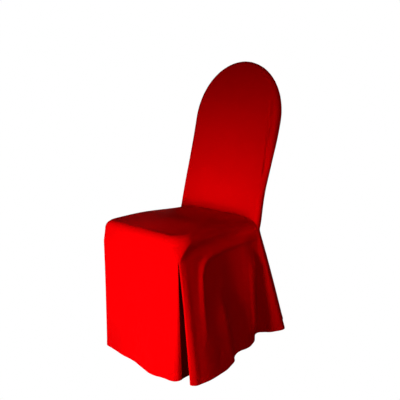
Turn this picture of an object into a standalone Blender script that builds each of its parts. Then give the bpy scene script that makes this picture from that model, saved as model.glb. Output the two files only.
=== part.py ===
# Dome-back chair cover: eight cloth panels, standing as they drape over a banquet chair.
# Units are metres, +Z is up and the cover's front faces -Y.
# The panels are worked out in a frame with the floor at z = 0, the seat's front face at y = 0
# and the cover's middle at x = 0. One empty then carries them so that the origin is the middle
# of the footprint.

import math

import bmesh
import bpy
import numpy as np

# Cloth
CLOTH_THICK = 0.0016
SEAM_GAP = 0.0008
MERGE_DISTANCE = 0.00005
CLOTH_ROUGHNESS = 0.75

# Seat
SEAT_HALF_FRONT = 0.1966
SEAT_HALF_REAR = 0.1926
SEAT_REAR_Y = 0.330
SEAT_EDGE_Z = 0.468
SEAT_REAR_Z = 0.461
SEAT_CROWN = 0.015
SEAT_SIDE_RISE = 0.006
SEAT_ROLL = 0.028
SEAT_PUFF = 0.0035
SEAT_MIDDLE_Y = 0.200
CROWN_FADES_FROM_Y = 0.120
CORNER_RADIUS_TOP = 0.031
CORNER_RADIUS_SEAM = 0.012
WAIST_Z = 0.430
WAIST_Y = 0.380
WAIST_HALF = 0.1972

# Back, measured up its own slope from the crease
CREASE_Y = 0.370
CREASE_Z = 0.458
RECLINE = math.radians(15.0)
DOME_BASE = 0.357
DOME_RISE = 0.213
BACK_CROWN = 0.005
BACK_CROWN_FULL_UP = 0.150
BACK_RIM = 0.020

# Rear drop
CORNER_RADIUS_WAIST = 0.017
CORNER_RADIUS_HEM = 0.028
REAR_HEM_BULGE = 0.010

# Middle of the footprint, which the empty brings to the origin
FOOTPRINT_MIDDLE_Y = 0.277

# Colours: one red cloth, and the same red in the shade of the pleats
CLOTH_RED = (0.62, 0.0, 0.004, 1.0)
PLEAT_RED = (0.40, 0.0, 0.003, 1.0)


# A short table whose columns go by name.
def table(columns, *rows):
    return dict(zip(columns, np.array(rows, float).T))


# Seam between the seat panel and the drops: its height along the seat's side
SEAM_LINE = table(
    ("back", "up"),
    (0.0, 0.393),
    (0.012, 0.399),
    (0.025, 0.406),
    (0.045, 0.414),
    (0.090, 0.4195),
    (0.150, 0.4235),
    (0.280, 0.428),
    (WAIST_Y, WAIST_Z),
)

# Half width and thickness of the back at heights up its slope
BACK_SECTIONS = table(
    ("up", "half_width", "thickness"),
    (0.00, 0.1980, 0.034),
    (0.10, 0.1963, 0.0275),
    (0.20, 0.1970, 0.037),
    (0.31, 0.1995, 0.046),
    (0.357, 0.2005, 0.045),
    (0.57, 0.2005, 0.034),
)

# Hem of the front drop, left to right, with the soft bulge right of its middle and the
# two ends turned back into the pleats. "top" is the place of the same thread on the seam,
# measured as if the seat's corner were sharp.
FRONT_HEM = table(
    ("top", "across", "back"),
    (-0.1958, -0.2015, 0.0160),
    (-0.1906, -0.2040, 0.0090),
    (-0.1846, -0.2010, 0.0020),
    (-0.1600, -0.1650, -0.0035),
    (-0.1200, -0.1220, -0.0080),
    (-0.0800, -0.0830, -0.0120),
    (-0.0400, -0.0420, -0.0115),
    (0.0000, 0.0000, -0.0170),
    (0.0450, 0.0430, -0.0260),
    (0.0800, 0.0800, -0.0325),
    (0.1080, 0.1080, -0.0305),
    (0.1300, 0.1310, -0.0225),
    (0.1520, 0.1500, -0.0190),
    (0.1720, 0.1690, -0.0170),
    (0.1846, 0.1825, -0.0095),
    (0.1906, 0.1880, -0.0005),
    (0.1958, 0.1890, 0.0130),
)

# Hem of a side drop from its front edge to the rear seam. "top" is the place of the same
# thread on the seam, "late" how long the thread keeps straight before it swings out.
RIGHT_HEM = table(
    ("top", "back", "out", "up", "late"),
    (0.0008, 0.0130, 0.2350, 0.005, 1.0),
    (0.0060, 0.0030, 0.2365, 0.006, 1.0),
    (0.0120, -0.0010, 0.2420, 0.006, 1.0),
    (0.0250, 0.0110, 0.2515, 0.003, 1.0),
    (0.0450, 0.0410, 0.2510, 0.001, 1.1),
    (0.0650, 0.0710, 0.2490, 0.000, 1.1),
    (0.0900, 0.1010, 0.2465, 0.000, 1.1),
    (0.1200, 0.1340, 0.2430, 0.000, 1.2),
    (0.1500, 0.1660, 0.2390, 0.001, 1.3),
    (0.1800, 0.1960, 0.2290, 0.006, 1.4),
    (0.2150, 0.2420, 0.2040, 0.013, 1.4),
    (0.2450, 0.2690, 0.2000, 0.016, 1.3),
    (0.2800, 0.3010, 0.2055, 0.018, 1.1),
    (0.3150, 0.3300, 0.2080, 0.022, 1.0),
    (0.3350, 0.3560, 0.2035, 0.027, 1.3),
    (0.3480, 0.3870, 0.1860, 0.029, 1.8),
    (0.3580, 0.4100, 0.1840, 0.029, 2.0),
    (0.3660, 0.4280, 0.1940, 0.028, 1.8),
    (0.3720, 0.4510, 0.2090, 0.028, 1.3),
    (0.3760, 0.4860, 0.2120, 0.028, 1.1),
    (0.3800, 0.5540, 0.1730, 0.028, 1.1),
)

LEFT_HEM = table(
    ("top", "back", "out", "up", "late"),
    (0.0008, 0.0240, 0.2035, 0.000, 1.0),
    (0.0060, 0.0185, 0.2060, 0.000, 1.0),
    (0.0120, 0.0200, 0.2090, 0.000, 1.0),
    (0.0250, 0.0320, 0.2150, 0.000, 1.2),
    (0.0450, 0.0550, 0.2280, 0.000, 1.4),
    (0.0900, 0.1010, 0.2490, 0.001, 1.3),
    (0.1200, 0.1340, 0.2525, 0.001, 1.2),
    (0.1500, 0.1690, 0.2430, 0.003, 1.3),
    (0.1850, 0.2070, 0.2190, 0.005, 1.5),
    (0.2200, 0.2500, 0.2030, 0.006, 1.5),
    (0.2500, 0.2850, 0.2090, 0.006, 1.4),
    (0.2800, 0.3190, 0.2170, 0.007, 1.3),
    (0.3200, 0.3680, 0.2060, 0.008, 1.4),
    (0.3400, 0.4020, 0.1830, 0.012, 1.6),
    (0.3560, 0.4360, 0.1700, 0.017, 1.7),
    (0.3680, 0.4680, 0.1780, 0.022, 1.5),
    (0.3750, 0.5050, 0.1880, 0.026, 1.1),
    (0.3800, 0.5540, 0.1800, 0.028, 1.1),
)

# Soft ridge over the frame's rail, which turns down over the front leg: its line on a side
# drop, and how far it stands out there
RAIL_RIDGE = table(
    ("back", "up", "stands_out"),
    (0.3760, 0.3980, 0.0010),
    (0.3300, 0.3980, 0.0050),
    (0.2570, 0.3960, 0.0070),
    (0.2030, 0.3910, 0.0075),
    (0.1500, 0.3860, 0.0075),
    (0.1220, 0.3770, 0.0070),
    (0.1050, 0.3600, 0.0065),
    (0.0950, 0.3340, 0.0060),
    (0.0910, 0.3000, 0.0055),
    (0.0870, 0.2400, 0.0045),
    (0.0850, 0.1700, 0.0022),
    (0.0840, 0.1000, 0.0000),
)
RIDGE_WIDTH = 0.011
RIDGE_STARTS_Y = 0.030
RIDGE_FULL_Y = 0.070
RIDGE_SEAM_SHARE = 0.03

# How the drops swing out: 1 is straight down to the hem, more swings later
FRONT_SWING = 1.2
REAR_SWING = 0.93
REAR_START = 0.04
FOLD_SWING = 1.5
# A side drop's threads from here back bend towards the rear corner seam
REAR_TURN_Y = 0.330

# Soft folds of the rear drop, across its width, deepest at the hem
REAR_FOLDS = table(
    ("across", "depth", "width"),
    (-0.105, 0.011, 0.030),
    (-0.020, 0.014, 0.038),
    (0.070, 0.010, 0.028),
)

# Sections of the two pleat underlays, front end to side end, at the seam and at the hem
RIGHT_PLEAT = table(
    ("top_across", "top_back", "hem_across", "hem_back"),
    (0.1840, 0.0030, 0.1868, 0.0146),
    (0.1805, 0.0080, 0.1850, 0.0340),
    (0.1790, 0.0120, 0.1870, 0.0505),
    (0.1860, 0.0140, 0.2080, 0.0400),
    (0.1944, 0.0150, 0.2346, 0.0150),
)
LEFT_PLEAT = table(
    ("top_across", "top_back", "hem_across", "hem_back"),
    (0.1840, 0.0030, 0.1988, 0.0172),
    (0.1805, 0.0080, 0.1930, 0.0340),
    (0.1790, 0.0120, 0.1880, 0.0480),
    (0.1860, 0.0140, 0.1960, 0.0380),
    (0.1944, 0.0150, 0.2030, 0.0256),
)

# Heights of the rows of threads in a drop, from the seam to the hem, as shares of its height
DROP_ROWS = (0.0, 0.03, 0.06, 0.095, 0.14, 0.20, 0.28, 0.38, 0.50, 0.63, 0.76, 0.88, 1.0)

# Places of the seat panel's threads: back along its side from the corner, and across its
# front from the middle
SEAT_SIDE_THREADS = (0.370, 0.325, 0.28, 0.235, 0.19, 0.15, 0.12, 0.09, 0.067, 0.045, 0.025, 0.012, 0.006)
SEAT_FRONT_THREADS = (0.1966, 0.1906, 0.1846, 0.1750, 0.155, 0.120, 0.090, 0.060, 0.030, 0.0)

PLEAT_ROWS = 13
PLEAT_TOP_Z = 0.390
SEAT_INNER_ROWS = 4
SIDE_ROWS = 3
ROLL_ROWS = 3
BACK_LEG_COLUMNS = 7
DOME_COLUMNS = 22
BACK_INNER_ROWS = 5
RIM_ROWS = 5

ACROSS = np.array((1.0, 0.0, 0.0))
SLOPE_UP = np.array((0.0, math.sin(RECLINE), math.cos(RECLINE)))
SLOPE_FRONT = np.array((0.0, -math.cos(RECLINE), math.sin(RECLINE)))
CREASE = np.array((0.0, CREASE_Y, CREASE_Z))


# Rises smoothly from 0 to 1 as the share goes from 0 to 1.
def ease(share):
    share = np.clip(share, 0.0, 1.0)
    return share * share * (3.0 - 2.0 * share)


# A column of a table as a smooth curve: a cubic between each two rows, with the slope at a
# row taken from its two neighbours.
def along(rows, column, at):
    x = rows["top"]
    y = rows[column]
    slope = np.gradient(y, x)
    i = np.clip(np.searchsorted(x, at, side="right") - 1, 0, len(x) - 2)
    span = x[i + 1] - x[i]
    t = np.clip((at - x[i]) / span, 0.0, 1.0)
    near = (1 + 2 * t) * (1 - t) ** 2 * y[i] + t * (1 - t) ** 2 * span * slope[i]
    far = t * t * (3 - 2 * t) * y[i + 1] + t * t * (t - 1) * span * slope[i + 1]
    return near + far


# Places along the top edge of a drop: every row of its table, and these many steps for each
# space between two.
def thread_places(rows, steps):
    top = rows["top"]
    count = steps * (len(top) - 1) + 1
    return np.interp(np.linspace(0.0, len(top) - 1.0, count), np.arange(len(top)), top)


def joined(*columns):
    return np.stack(np.broadcast_arrays(*columns), axis=-1)


# The seat's half width at a distance back from its front face, out to the sleeve's side.
def seat_half(y):
    places = (0.0, SEAT_REAR_Y, WAIST_Y)
    return np.interp(y, places, (SEAT_HALF_FRONT, SEAT_HALF_REAR, WAIST_HALF))


def seam_z(y):
    return np.interp(y, SEAM_LINE["back"], SEAM_LINE["up"])


# A place near a corner, given by its distance from the corner along a straight edge, once the
# corner is rounded: how far it then lies along that edge, and how far in from it.
def rounded(distance, radius):
    turn = math.pi / 4 * (1.0 - np.minimum(distance / radius, 1.0))
    near = distance < radius
    run = np.where(near, radius * (1.0 - np.sin(turn)), distance)
    inset = np.where(near, radius * (1.0 - np.cos(turn)), 0.0)
    return run, inset


# The front face of the back at a height, where the seat meets it.
def back_face_y(z):
    return CREASE_Y + (z - CREASE_Z) * math.tan(RECLINE)


# Left half of the seat's outline from the back to the middle of the front, mirrored on, with
# this radius at the corner.
def seat_outline(radius):
    side_y, side_inset = rounded(np.array(SEAT_SIDE_THREADS), radius)
    side = joined(side_inset - seat_half(side_y), side_y)
    front_run, front_y = rounded(SEAT_HALF_FRONT - np.array(SEAT_FRONT_THREADS), radius)
    front = joined(front_run - SEAT_HALF_FRONT, front_y)
    half = np.concatenate((side, front))
    return np.concatenate((half, half[-2::-1] * (-1.0, 1.0)))


# Height of the cushion's crown above the seat's edge: a rounded hill, lowest at the crease.
def seat_crown(x, y):
    across = x / (SEAT_HALF_FRONT - SEAT_ROLL)
    ahead = np.maximum(SEAT_MIDDLE_Y - y, 0.0) / (SEAT_MIDDLE_Y - SEAT_ROLL)
    behind = ease((y - CROWN_FADES_FROM_Y) / (CREASE_Y - CROWN_FADES_FROM_Y))
    hill = np.maximum(1.0 - across**2, 0.0) * np.maximum(1.0 - ahead**2, 0.0)
    crown = SEAT_CROWN * hill * (1.0 - behind)
    return crown - (SEAT_EDGE_Z - SEAT_REAR_Z) * behind


# Seat panel: from the seam up its sides, over the rolled edge, then over the crowned top to
# a line down the middle.
def seat_surface():
    rows = []
    full = seat_outline(CORNER_RADIUS_TOP)
    bottom = seam_z(seat_outline(CORNER_RADIUS_SEAM)[:, 1])
    shoulder = SEAT_EDGE_Z - SEAT_ROLL
    for share in np.linspace(0.0, 1.0, SIDE_ROWS + 1):
        radius = CORNER_RADIUS_SEAM + (CORNER_RADIUS_TOP - CORNER_RADIUS_SEAM) * share
        flat = seat_outline(radius)
        middle = joined(0.0 * flat[:, 0], np.maximum(flat[:, 1], SEAT_MIDDLE_Y))
        outward = flat - middle
        outward = outward / np.linalg.norm(outward, axis=1, keepdims=True)
        puff = SEAT_PUFF * math.sin(math.pi * share)
        z = bottom + (shoulder - bottom) * share
        rows.append(np.column_stack((flat + outward * puff, z)))
    middle = joined(0.0 * full[:, 0], np.maximum(full[:, 1], SEAT_MIDDLE_Y))
    inward = middle - full
    reach = np.linalg.norm(inward, axis=1, keepdims=True)
    inward = inward / reach
    rise = SEAT_SIDE_RISE * np.sin(math.pi * np.clip(full[:, 1] / CREASE_Y, 0.0, 1.0))
    edge_z = rise + seat_crown(full[:, 0] * (1.0 - SEAT_ROLL / SEAT_HALF_FRONT), full[:, 1])
    for angle in np.linspace(0.0, math.pi / 2, ROLL_ROWS + 1)[1:]:
        flat = full + inward * SEAT_ROLL * (1.0 - math.cos(angle))
        z = shoulder + (SEAT_ROLL + edge_z) * math.sin(angle)
        rows.append(np.column_stack((flat, z)))
    for share in np.linspace(0.0, 1.0, SEAT_INNER_ROWS + 1)[1:]:
        flat = full + inward * (SEAT_ROLL + (reach - SEAT_ROLL) * share)
        z = SEAT_EDGE_Z + rise * (1.0 - share) + seat_crown(flat[:, 0], flat[:, 1])
        rows.append(np.column_stack((flat, z)))
    surface = np.stack(rows, axis=1)
    for end in (0, -1):
        surface[end, :, 1] = back_face_y(surface[end, :, 2]) - CLOTH_THICK
    return surface


# A point of the back from its place across, up the slope and in front of the face.
def on_slope(across, up, front):
    shape = np.broadcast(across, up, front).shape
    spread = [np.broadcast_to(part, shape)[..., None] for part in (across, up, front)]
    return CREASE + spread[0] * ACROSS + spread[1] * SLOPE_UP + spread[2] * SLOPE_FRONT


# Outline of the back, up its left side, over the dome and down the right side, with the
# point of the middle that each place faces. Both are (across, up).
def back_outline():
    leg_up = np.linspace(0.0, DOME_BASE, BACK_LEG_COLUMNS + 1)[:-1]
    half = np.interp(leg_up, BACK_SECTIONS["up"], BACK_SECTIONS["half_width"])
    leg = joined(-half, leg_up)
    angle = np.linspace(math.pi, 0.0, DOME_COLUMNS + 1)
    dome_half = np.interp(DOME_BASE, BACK_SECTIONS["up"], BACK_SECTIONS["half_width"])
    dome = joined(dome_half * np.cos(angle), DOME_BASE + DOME_RISE * np.sin(angle))
    outline = np.concatenate((leg, dome, leg[::-1] * (-1.0, 1.0)))
    middle = joined(0.0 * outline[:, 0], np.minimum(outline[:, 1], DOME_BASE))
    return outline, middle


def back_thickness(up):
    return np.interp(up, BACK_SECTIONS["up"], BACK_SECTIONS["thickness"])


# How far a face of the back swells at its middle: nothing at the rim and at the crease.
def back_crown(flat):
    half = BACK_SECTIONS["half_width"][0]
    across = flat[:, :1] / (half - BACK_RIM)
    over = np.maximum(flat[:, 1:] - DOME_BASE, 0.0) / (DOME_RISE - BACK_RIM)
    hill = np.maximum(1.0 - across**2 - over**2, 0.0)
    return BACK_CROWN * hill * ease(flat[:, 1:] / BACK_CROWN_FULL_UP)


# One face of the back, from its seam along the middle of the edge, round the edge, then to
# the middle line. Side is 1 for the face in front and -1 for the one behind. The rows are
# given as (across, up, front).
def back_face(side):
    outline, middle = back_outline()
    radius = back_thickness(outline[:, 1:]) / 2
    inward = middle - outline
    reach = np.linalg.norm(inward, axis=1, keepdims=True)
    inward = inward / reach
    start = SEAM_GAP / 2 / radius
    rows = []
    for share in np.linspace(0.0, 1.0, RIM_ROWS + 1):
        angle = start + (math.pi / 2 - start) * share
        flat = outline + inward * radius * (1.0 - np.cos(angle))
        front = -radius + side * radius * np.sin(angle)
        rows.append(np.hstack((flat, front)))
    for share in np.linspace(0.0, 1.0, BACK_INNER_ROWS + 1)[1:]:
        flat = outline + inward * (radius + (reach - radius) * share)
        half_here = radius + (back_thickness(flat[:, 1:]) / 2 - radius) * ease(share)
        front = -half_here + side * (half_here + back_crown(flat))
        rows.append(np.hstack((flat, front)))
    return np.stack(rows, axis=1)


# The same rows of the back at the waist, where every point lies at one height.
def waist_row(face_row):
    front = face_row[:, 2]
    up = (WAIST_Z - CREASE_Z - front * math.sin(RECLINE)) / math.cos(RECLINE)
    return on_slope(face_row[:, 0], up, front)


def inside_back_surface():
    face = back_face(1.0)
    surface = on_slope(face[..., 0], face[..., 1], face[..., 2])
    return np.concatenate((waist_row(face[0])[None], surface, waist_row(face[-1])[None]))


# Corner seam between a side drop and the rear drop, from the waist to the hem.
def corner_seam(share, hem):
    top_x = BACK_SECTIONS["half_width"][0]
    top_y = back_face_y(WAIST_Z) + BACK_SECTIONS["thickness"][0] / 2 / math.cos(RECLINE)
    softened = np.hypot(share, REAR_START) - REAR_START
    swing = (softened / (math.hypot(1.0, REAR_START) - REAR_START)) ** REAR_SWING
    x = top_x + (hem["out"][-1] - top_x) * share
    y = top_y + (hem["back"][-1] - top_y) * swing
    z = WAIST_Z + (hem["up"][-1] - WAIST_Z) * share
    return x, y, z


# Rear drop at one height, from the left corner seam to the middle or from the right one.
def rear_row(share, hand, hem):
    x, y, z = corner_seam(share, hem)
    radius = CORNER_RADIUS_WAIST + (CORNER_RADIUS_HEM - CORNER_RADIUS_WAIST) * share
    angle = np.linspace(0.0, math.pi / 2, RIM_ROWS + 1)
    rim_x = x - radius * (1.0 - np.cos(angle))
    rim_y = y + radius * np.sin(angle)
    across = np.linspace(0.0, 1.0, BACK_INNER_ROWS + 1)[1:]
    inner_x = (x - radius) * (1.0 - across)
    middle_y = y + radius + REAR_HEM_BULGE * share
    inner_y = y + radius + (middle_y - y - radius) * np.sin(across * math.pi / 2)
    row_x = hand * np.concatenate((rim_x, inner_x))
    row_y = np.concatenate((rim_y, inner_y))
    for place, depth, width in zip(*REAR_FOLDS.values()):
        row_y = row_y - depth * share**FOLD_SWING * np.exp(-(((row_x - place) / width) ** 2))
    return joined(row_x, row_y, z)


# Outside back: the rear face of the dome and, in the same cut, the rear drop to the hem.
def outside_back_surface():
    face = back_face(-1.0)
    surface = on_slope(face[..., 0], face[..., 1], face[..., 2])
    shares = DROP_ROWS[1:]
    left = [rear_row(share, -1.0, LEFT_HEM) for share in shares[::-1]]
    right = [rear_row(share, 1.0, RIGHT_HEM) for share in shares]
    waists = (waist_row(face[0])[None], waist_row(face[-1])[None])
    return np.concatenate((np.stack(left), waists[0], surface, waists[1], np.stack(right)))


def front_surface():
    thread = thread_places(FRONT_HEM, 1)
    run, inset = rounded(SEAT_HALF_FRONT - np.abs(thread), CORNER_RADIUS_SEAM)
    top_x = (np.sign(thread) * (SEAT_HALF_FRONT - run))[:, None]
    top_y = inset[:, None]
    top_z = seam_z(top_y) - SEAM_GAP
    hem_x = along(FRONT_HEM, "across", thread)[:, None]
    hem_y = along(FRONT_HEM, "back", thread)[:, None]
    share = np.array(DROP_ROWS)[None, :]
    x = top_x + (hem_x - top_x) * share
    y = top_y + (hem_y - top_y) * share**FRONT_SWING
    return joined(x, y, top_z * (1.0 - share))


# How far the frame's rail and leg push a side drop out at these places.
def rail_push(back, up):
    line_y, line_z = RAIL_RIDGE["back"], RAIL_RIDGE["up"]
    nearest = np.full(back.shape, np.inf)
    height = np.zeros(back.shape)
    for i in range(len(line_y) - 1):
        step_y, step_z = line_y[i + 1] - line_y[i], line_z[i + 1] - line_z[i]
        length = step_y**2 + step_z**2
        t = np.clip(((back - line_y[i]) * step_y + (up - line_z[i]) * step_z) / length, 0, 1)
        away = np.hypot(back - line_y[i] - t * step_y, up - line_z[i] - t * step_z)
        out = RAIL_RIDGE["stands_out"]
        here = out[i] + (out[i + 1] - out[i]) * t
        height = np.where(away < nearest, here, height)
        nearest = np.minimum(nearest, away)
    return height * np.exp(-((nearest / RIDGE_WIDTH) ** 2))


# A side drop, from its front edge at the pleat to the rear seam. Hand is 1 for the right one.
def side_surface(hem, hand):
    thread = thread_places(hem, 2)
    run, inset = rounded(thread, CORNER_RADIUS_SEAM)
    top_x = (seat_half(run) - inset)[:, None]
    top_y = run[:, None]
    top_z = seam_z(top_y) - SEAM_GAP
    hem_x = along(hem, "out", thread)[:, None]
    hem_y = along(hem, "back", thread)[:, None]
    hem_z = along(hem, "up", thread)[:, None]
    late = np.interp(thread, hem["top"], hem["late"])[:, None]
    share = np.array(DROP_ROWS)[None, :]
    x = top_x + (hem_x - top_x) * share**late
    y = top_y + (hem_y - top_y) * share
    z = top_z + (hem_z - top_z) * share
    clear_of_corner = ease((y - RIDGE_STARTS_Y) / (RIDGE_FULL_Y - RIDGE_STARTS_Y))
    clear_of_seam = ease(share / RIDGE_SEAM_SHARE)
    x = x + rail_push(y, z) * clear_of_corner * clear_of_seam
    seam_x, seam_y, _ = corner_seam(share, hem)
    near = ease((thread[:, None] - REAR_TURN_Y) / (hem["top"][-1] - REAR_TURN_Y))
    x = x + (seam_x - x[-1]) * near
    y = y + (seam_y - SEAM_GAP - y[-1]) * near
    return joined(hand * x, y, z)


def pleat_surface(section, hand):
    share = np.linspace(0.0, 1.0, PLEAT_ROWS)[None, :]
    rows = {name: values[:, None] for name, values in section.items()}
    x = rows["top_across"] + (rows["hem_across"] - rows["top_across"]) * share
    y = rows["top_back"] + (rows["hem_back"] - rows["top_back"]) * share
    return joined(hand * x, y, PLEAT_TOP_Z * (1.0 - share))


def cloth_material(name, colour):
    material = bpy.data.materials.new(name)
    material.use_nodes = True
    shader = material.node_tree.nodes["Principled BSDF"]
    shader.inputs["Base Color"].default_value = colour
    shader.inputs["Roughness"].default_value = CLOTH_ROUGHNESS
    shader.inputs["Metallic"].default_value = 0.0
    material.diffuse_color = colour
    return material


# A cloth panel: a flat grid carried onto a surface of points, its doubled points made one,
# then thickened towards the inside of the cover. Flip turns the grid's outside round.
def cloth_panel(name, surface, material, flip=False):
    columns, rows = surface.shape[:2]
    sheet = bmesh.new()
    bmesh.ops.create_grid(sheet, x_segments=columns - 1, y_segments=rows - 1, size=1.0)
    for vert in sheet.verts:
        column = round((vert.co.x + 1.0) / 2.0 * (columns - 1))
        row = round((vert.co.y + 1.0) / 2.0 * (rows - 1))
        vert.co = surface[column, row]
    bmesh.ops.remove_doubles(sheet, verts=sheet.verts, dist=MERGE_DISTANCE)
    if flip:
        bmesh.ops.reverse_faces(sheet, faces=sheet.faces)
    mesh = bpy.data.meshes.new(name)
    sheet.to_mesh(mesh)
    sheet.free()
    mesh.shade_smooth()
    mesh.materials.append(material)
    panel = bpy.data.objects.new(name, mesh)
    thicken = panel.modifiers.new("Cloth thickness", "SOLIDIFY")
    thicken.thickness = CLOTH_THICK
    thicken.offset = -1.0
    thicken.use_even_offset = True
    thicken.use_quality_normals = True
    return panel


def clear_scene():
    for thing in list(bpy.data.objects):
        bpy.data.objects.remove(thing, do_unlink=True)


def build():
    clear_scene()
    collection = bpy.data.collections.new("chair_cover")
    bpy.context.scene.collection.children.link(collection)
    stand = bpy.data.objects.new("footprint_middle", None)
    stand.location = (0.0, -FOOTPRINT_MIDDLE_Y, 0.0)
    collection.objects.link(stand)
    red = cloth_material("red_cloth", CLOTH_RED)
    shade = cloth_material("pleat_cloth", PLEAT_RED)
    panels = (
        cloth_panel("seat_top", seat_surface(), red),
        cloth_panel("inside_back", inside_back_surface(), red, flip=True),
        cloth_panel("outside_back", outside_back_surface(), red),
        cloth_panel("front_skirt", front_surface(), red, flip=True),
        cloth_panel("side_skirt_right", side_surface(RIGHT_HEM, 1.0), red, flip=True),
        cloth_panel("side_skirt_left", side_surface(LEFT_HEM, -1.0), red),
        cloth_panel("pleat_right", pleat_surface(RIGHT_PLEAT, 1.0), shade, flip=True),
        cloth_panel("pleat_left", pleat_surface(LEFT_PLEAT, -1.0), shade),
    )
    for panel in panels:
        collection.objects.link(panel)
        panel.parent = stand


build()
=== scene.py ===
# Red fitted cover for a dome-back banquet chair, panel by panel, each a thin cloth that lies on
# the folds of its CAD node. Metres throughout.

import math

import bpy
import numpy as np
from mathutils import Matrix


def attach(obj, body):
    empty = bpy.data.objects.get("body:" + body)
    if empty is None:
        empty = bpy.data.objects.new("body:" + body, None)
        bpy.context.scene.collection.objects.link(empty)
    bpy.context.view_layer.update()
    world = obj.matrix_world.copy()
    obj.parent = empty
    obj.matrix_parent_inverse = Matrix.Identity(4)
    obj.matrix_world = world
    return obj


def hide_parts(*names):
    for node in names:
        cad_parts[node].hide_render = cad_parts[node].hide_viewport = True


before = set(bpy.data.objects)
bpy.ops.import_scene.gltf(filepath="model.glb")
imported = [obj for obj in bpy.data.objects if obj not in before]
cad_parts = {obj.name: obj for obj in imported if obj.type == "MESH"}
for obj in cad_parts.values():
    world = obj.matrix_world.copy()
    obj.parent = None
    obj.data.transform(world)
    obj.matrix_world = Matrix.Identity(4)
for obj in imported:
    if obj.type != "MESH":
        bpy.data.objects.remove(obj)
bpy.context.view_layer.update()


# Named columns of a short table, as whole arrays
def table(columns, *rows):
    return dict(zip(columns, np.array(rows, float).T))


# 3s^2 - 2s^3: rises from 0 to 1 with no corner at either end
def ease(share):
    share = np.clip(share, 0.0, 1.0)
    return share * share * (3.0 - 2.0 * share)


# A bump of height 1 at the middle, exp(-(d / width)^2)
def bump(distance, width):
    return np.exp(-((distance / width) ** 2))


# Cubic Hermite curve through (x, y), with each knot's slope from its two neighbours
def smooth(x, y, at):
    x, y = np.asarray(x, float), np.asarray(y, float)
    slope = np.gradient(y, x)
    i = np.clip(np.searchsorted(x, at, side="right") - 1, 0, len(x) - 2)
    span = x[i + 1] - x[i]
    t = np.clip((at - x[i]) / span, 0.0, 1.0)
    near = (1 + 2 * t) * (1 - t) ** 2 * y[i] + t * (1 - t) ** 2 * span * slope[i]
    far = t * t * (3 - 2 * t) * y[i + 1] + t * t * (t - 1) * span * slope[i + 1]
    return near + far


# The knots of x with (steps - 1) more places between each two
def spread(x, steps):
    x = np.asarray(x, float)
    return np.interp(np.linspace(0, len(x) - 1, steps * (len(x) - 1) + 1), np.arange(len(x)), x)


# The columns side by side in a new last axis, each first stretched to their common shape
def stack(*columns):
    return np.stack(np.broadcast_arrays(*columns), axis=-1)


# Distance from each (a, b) to a polyline, how far along it the nearest place is, 0 to 1, and on
# which side of it the point lies
def nearLine(a, b, line):
    line = np.asarray(line, float)
    steps = np.diff(line, axis=0)
    lengths = np.hypot(steps[:, 0], steps[:, 1])
    total = lengths.sum()
    best, place, gone = np.full(a.shape, np.inf), np.zeros(a.shape), 0.0
    side = np.zeros(a.shape)
    for start, step, length in zip(line[:-1], steps, lengths):
        t = np.clip(((a - start[0]) * step[0] + (b - start[1]) * step[1]) / length**2, 0.0, 1.0)
        away = np.hypot(a - start[0] - t * step[0], b - start[1] - t * step[1])
        place = np.where(away < best, (gone + t * length) / total, place)
        side = np.where(away < best, step[0] * (b - start[1]) - step[1] * (a - start[0]), side)
        best = np.minimum(best, away)
        gone += length
    return best, place, side


# Creases as rows of named columns: a line of places, its width on either side, its height (a
# trough's is below 0), and the shares of its length over which it fades in and out
def creaseTable(*rows):
    columns = ("line", "width", "otherWidth", "height", "fadeIn", "fadeOut")
    return [dict(zip(columns, row)) for row in rows]


# Soft troughs and ridges: for each crease, height * bump(distance to its line), faded at both ends
def creases(a, b, lines):
    total = np.zeros(np.broadcast(a, b).shape)
    a, b = np.broadcast_arrays(a, b)
    for crease in lines:
        away, place, side = nearLine(a, b, crease["line"])
        width = np.where(side < 0.0, crease["width"], crease["otherWidth"])
        fade = ease(place / crease["fadeIn"]) * ease((1.0 - place) / crease["fadeOut"])
        total = total + crease["height"] * bump(away, width) * fade
    return total


# Small uneven waves of the cloth: the mean of a few sines, each with its own direction, phase and
# length, which is a share of size
def restless(a, b, size, seed):
    rng = np.random.default_rng(seed)
    count = 7
    turns = rng.uniform(0, math.pi, count)
    lengths = rng.uniform(0.7, 2.1, count)
    phases = rng.uniform(0, 6.28, count)
    total = np.zeros(np.broadcast(a, b).shape)
    for turn, length, phase in zip(turns, lengths, phases):
        run = (a * math.cos(turn) + b * math.sin(turn)) / (size * length)
        total = total + np.sin(2 * math.pi * run + phase)
    return total / count


# Sizes of the cover. Its solids have the same outline and folds, with some creases shallower and
# some hem points a few mm away.
cover = {
    "middleBack": 0.277,        # middle of the footprint, behind the seat's front face
    "clothThick": 0.0009,
    "seatHalf": ((0.0, 0.330, 0.380), (0.1966, 0.1926, 0.1972)),
    "seamRadius": 0.012,
    "topRadii": (0.031, 0.062),  # of the cushion's front corners, left and right
    "waistZ": 0.430,
    "seamTuck": 0.0002,         # how far every seam is drawn in
    "valleyTuck": 0.0085,       # more of it under the cushion's side
    "valleyHigh": 0.030,        # how far above the seam the cushion's side is drawn in
    "valleyLow": 0.028,         # and how far below it the skirt is
    "valleyFront": (0.014, 0.055),  # where along the side the valley begins, and over how far
    "valleyRear": (0.270, 0.090),   # where it starts to end, and over how far
}

seamLine = table(
    ("back", "up"),
    (0.0, 0.393), (0.012, 0.399), (0.025, 0.406), (0.045, 0.414), (0.090, 0.4195),
    (0.150, 0.4235), (0.280, 0.428), (0.380, 0.430),
)


# Half the seat's width at this distance behind its front face
def seatHalfAt(y):
    return smooth(*cover["seatHalf"], y)


# Height of the skirt seam at this distance behind the seat's front face
def seamHeight(y):
    return smooth(seamLine["back"], seamLine["up"], y)


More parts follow.
